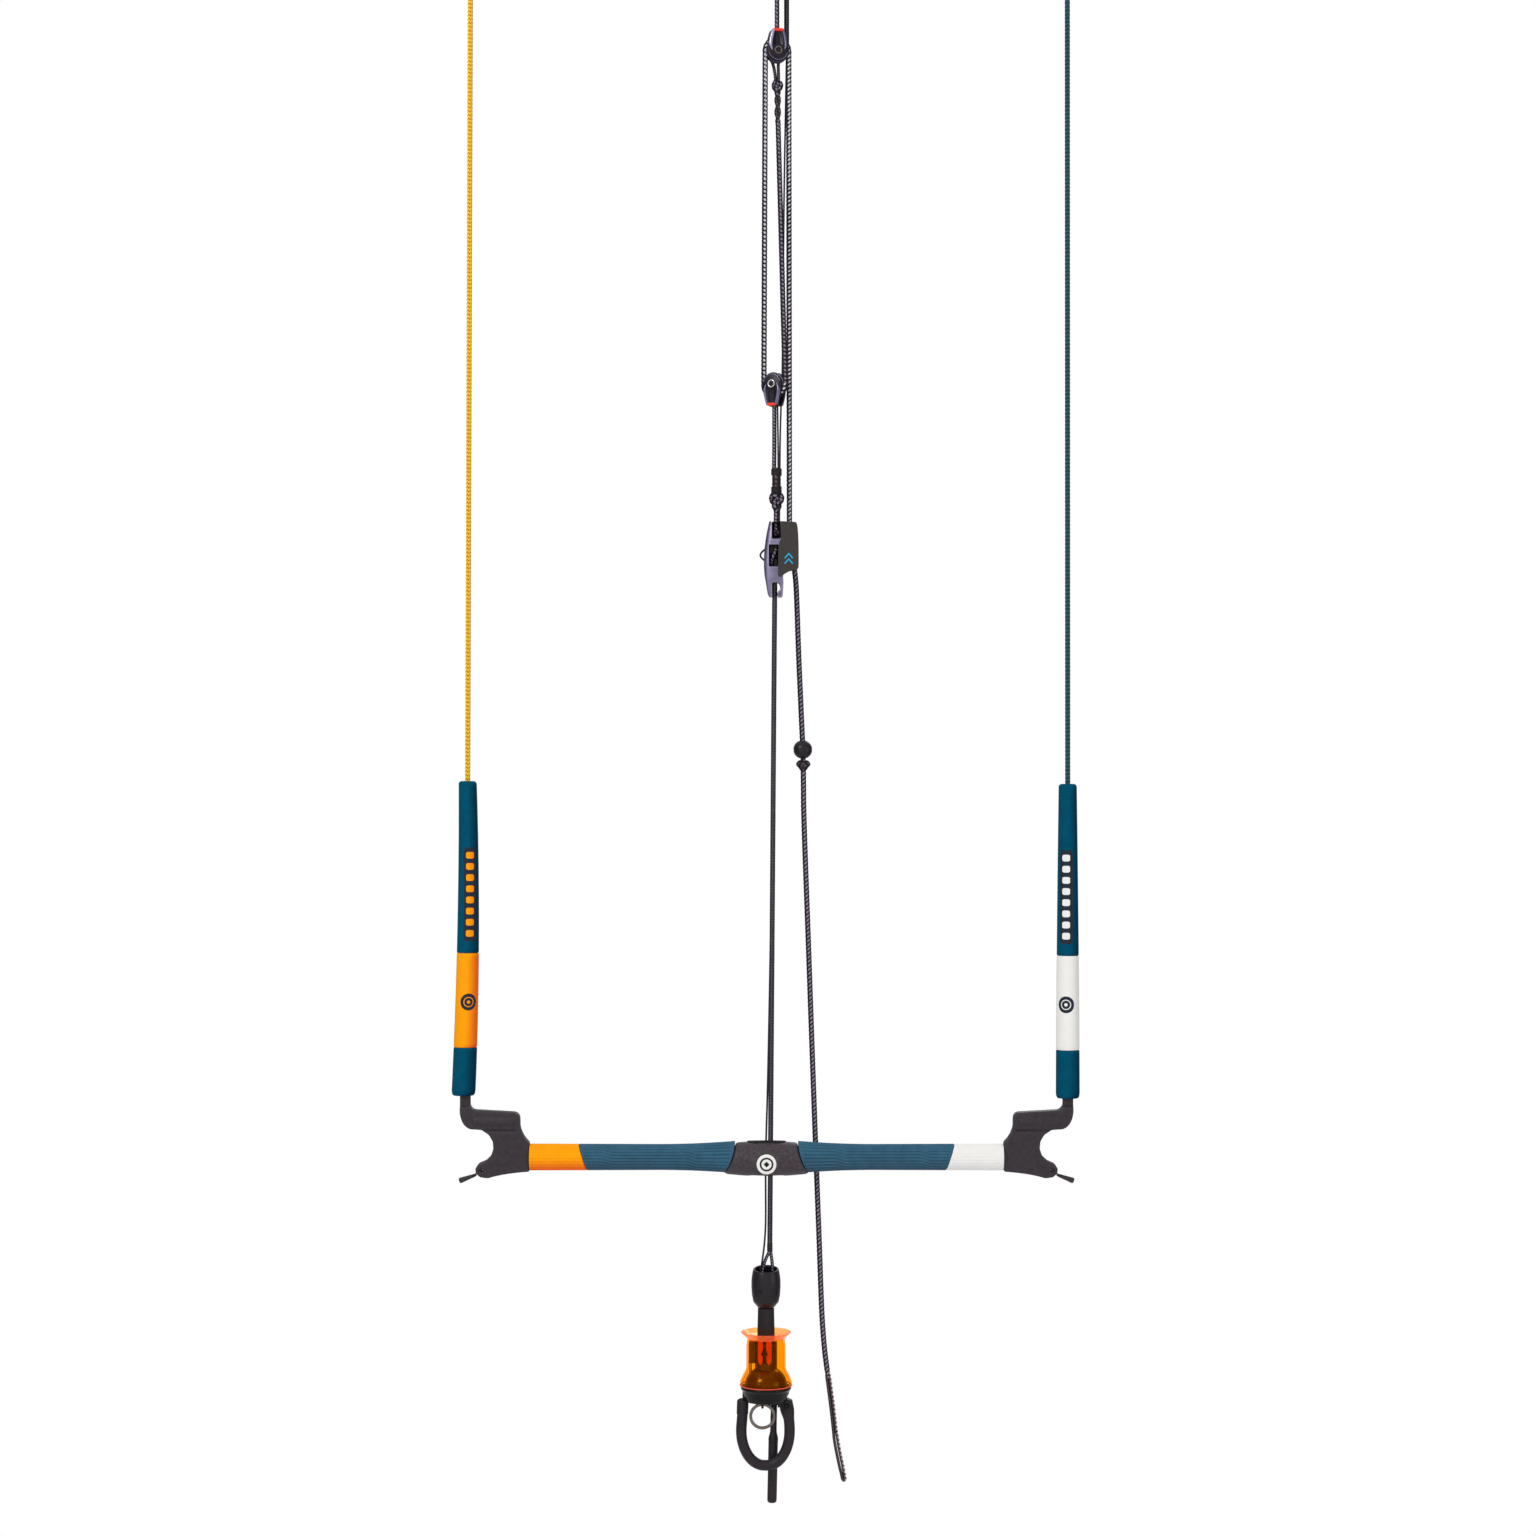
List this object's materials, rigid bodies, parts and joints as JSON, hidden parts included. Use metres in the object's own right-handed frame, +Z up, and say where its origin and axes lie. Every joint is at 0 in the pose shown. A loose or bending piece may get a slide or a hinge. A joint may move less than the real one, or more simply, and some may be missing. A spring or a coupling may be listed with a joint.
{
  "type": "kitesurf control bar",
  "caption": "Kitesurf control bar hung up by its front line: bar with winders, floats and leader lines, trim tackle with cleat, depower line, swivel, quick release and harness loop.",
  "frame": {"origin": "where the harness hook sits: the inside of the loop's straight bottom, midway along it", "axes": "+Z up the lines towards the kite, +X along the bar towards its white tip, +Y away from the rider, behind the bar"},
  "size_m": [0.5632, 0.0578, 1.4211],
  "materials": {
    "black_rope": "braided polyester and high-modulus rope with light flecks",
    "orange_rope": "braided leader line",
    "teal_rope": "braided leader line",
    "black_plastic": "satin moulded plastic",
    "dark_plastic": "glass-filled nylon",
    "cover_plastic": "dark grey moulded cover",
    "centre_foam": "moulded grey-brown polyurethane",
    "grip_foam": "grooved teal EVA grip",
    "orange_foam": "smooth orange EVA",
    "white_foam": "smooth white EVA",
    "teal_foam": "smooth teal EVA float",
    "steel": "polished stainless steel",
    "aluminium": "satin",
    "anodised_aluminium": "grey-purple anodised",
    "red_plastic": "red-orange moulded thimble",
    "amber_plastic": "clear amber moulded sleeve"
  },
  "bodies": {
    "front_line_set": {"front_line": "black_rope", "upper_block_front_cheek": "dark_plastic", "upper_block_rear_cheek": "dark_plastic", "upper_block_pin": "steel", "upper_block_thimble": "red_plastic", "tackle_turn_top": "black_rope", "becket_line": "black_rope", "tackle_left_leg": "black_rope", "tackle_middle_leg": "black_rope", "tackle_right_leg": "black_rope", "safety_line_top": "black_rope", "safety_line_tackle": "black_rope"},
    "upper_wheel": {"upper_sheave": "aluminium"},
    "centre_line_set": {"lower_block_front_cheek": "dark_plastic", "lower_block_rear_cheek": "dark_plastic", "lower_block_pin": "steel", "lower_block_thimble": "red_plastic", "tackle_turn_bottom": "black_rope", "block_tether": "black_rope", "cleat_body": "anodised_aluminium", "cleat_cover": "cover_plastic", "depower_line": "black_rope", "safety_line": "black_rope", "swivel_cover": "black_plastic", "swivel_head": "steel"},
    "lower_wheel": {"lower_sheave": "aluminium"},
    "trim_tail": {"trim_tail_line": "black_rope", "tail_end_loop": "black_rope"},
    "tail_ball": {"stopper_ball": "black_plastic"},
    "guide": {"line_guide_bush": "dark_plastic"},
    "bar": {"centre_insert": "centre_foam", "centre_badge": "dark_plastic", "bar_tube_left": "aluminium", "grip_left": "grip_foam", "grip_tip_left": "orange_foam", "winder_left": "black_plastic", "bar_tube_right": "aluminium", "grip_right": "grip_foam", "grip_tip_right": "white_foam", "winder_right": "black_plastic"},
    "left_keeper": {"keeper_left": "black_plastic"},
    "right_keeper": {"keeper_right": "black_plastic"},
    "left_float": {"float_left_foot": "teal_foam", "float_left_band": "orange_foam", "float_left_top": "teal_foam", "leader_left": "orange_rope"},
    "right_float": {"float_right_foot": "teal_foam", "float_right_band": "white_foam", "float_right_top": "teal_foam", "leader_right": "teal_rope"},
    "release_unit": {"swivel_stem": "black_plastic", "release_body": "black_plastic", "return_spring": "steel", "loop_pin": "steel", "retainer_pin": "steel"},
    "sleeve": {"release_sleeve": "amber_plastic", "release_pin": "steel"},
    "harness_loop": {"loop_tube": "black_plastic"},
    "ring": {"leash_ring": "steel"},
    "retainer": {"hook_retainer": "black_plastic"}
  },
  "joints": [
    {"name": "trim_slide", "type": "slide", "parent": "front_line_set", "child": "centre_line_set", "axis": [0, 0, 1], "range_m": [0, 0.1], "deforming": ["tackle_left_leg", "tackle_middle_leg", "tackle_right_leg", "safety_line_tackle"]},
    {"name": "upper_sheave_turn", "type": "hinge", "parent": "front_line_set", "child": "upper_wheel", "pos_m": [0.0099, 0, 1.267], "axis": [-0.2079, 0.9781, 0], "range_deg": [0, 1065]},
    {"name": "lower_sheave_turn", "type": "hinge", "parent": "centre_line_set", "child": "lower_wheel", "pos_m": [0.00765, 0, 0.9675], "axis": [0.4695, 0.8829, 0], "range_deg": [0, 533]},
    {"name": "tail_slide", "type": "slide", "parent": "centre_line_set", "child": "trim_tail", "axis": [0.0017, 0.036, -0.9994], "range_m": [0, 0.3]},
    {"name": "ball_slide", "type": "slide", "parent": "trim_tail", "child": "tail_ball", "axis": [-0.0446, -0.0433, 0.9981], "range_m": [0, 0.12]},
    {"name": "bar_slide", "type": "slide", "parent": "centre_line_set", "child": "guide", "axis": [0.0075, 0, 1], "range_m": [-0.062, 0.39], "stiffness_N_per_m": 200, "springref_m": 0.0232},
    {"name": "bar_tilt", "type": "hinge", "parent": "guide", "child": "bar", "pos_m": [0.0005, 0, 0.2725], "axis": [0, 1, 0], "range_deg": [-30, 30]},
    {"name": "left_float_swing", "type": "hinge", "parent": "bar", "child": "left_float", "pos_m": [-0.2704, 0, 0.3285], "axis": [0, 1, 0], "range_deg": [-30, 30]},
    {"name": "right_float_swing", "type": "hinge", "parent": "bar", "child": "right_float", "pos_m": [0.2714, 0, 0.3285], "axis": [0, 1, 0], "range_deg": [-30, 30]},
    {"name": "left_keeper_swing", "type": "hinge", "parent": "bar", "child": "left_keeper", "pos_m": [-0.2619, 0, 0.2561], "axis": [0, -1, 0], "range_deg": [-10, 60]},
    {"name": "right_keeper_swing", "type": "hinge", "parent": "bar", "child": "right_keeper", "pos_m": [0.2629, 0, 0.2561], "axis": [0, 1, 0], "range_deg": [-10, 60]},
    {"name": "swivel", "type": "hinge", "parent": "centre_line_set", "child": "release_unit", "pos_m": [0, 0, 0.14], "axis": [0, 0, 1], "continuous": true},
    {"name": "sleeve_slide", "type": "slide", "parent": "release_unit", "child": "sleeve", "axis": [0, 0, 1], "range_m": [0, 0.015], "deforming": ["return_spring"]},
    {"name": "loop_open", "type": "hinge", "parent": "release_unit", "child": "harness_loop", "pos_m": [0.018, 0, 0.05], "axis": [0, -1, 0], "range_deg": [0, 95]},
    {"name": "ring_swing", "type": "hinge", "parent": "release_unit", "child": "ring", "pos_m": [-0.0032, -0.008, 0.0515], "axis": [1, 0, 0], "range_deg": [-75, 5]},
    {"name": "retainer_swing", "type": "hinge", "parent": "release_unit", "child": "retainer", "pos_m": [0.0072, 0.0104, 0.048], "axis": [1, 0, 0], "range_deg": [0, 60]}
  ],
  "couplings": [
    {"joint": "upper_sheave_turn", "follows": "trim_slide", "rad_per_m": 185.19},
    {"joint": "lower_sheave_turn", "follows": "trim_slide", "rad_per_m": 92.593},
    {"joint": "tail_slide", "follows": "trim_slide", "ratio": 3},
    {"joint": "left_float_swing", "follows": "bar_tilt", "ratio": -1},
    {"joint": "right_float_swing", "follows": "bar_tilt", "ratio": -1}
  ]
}
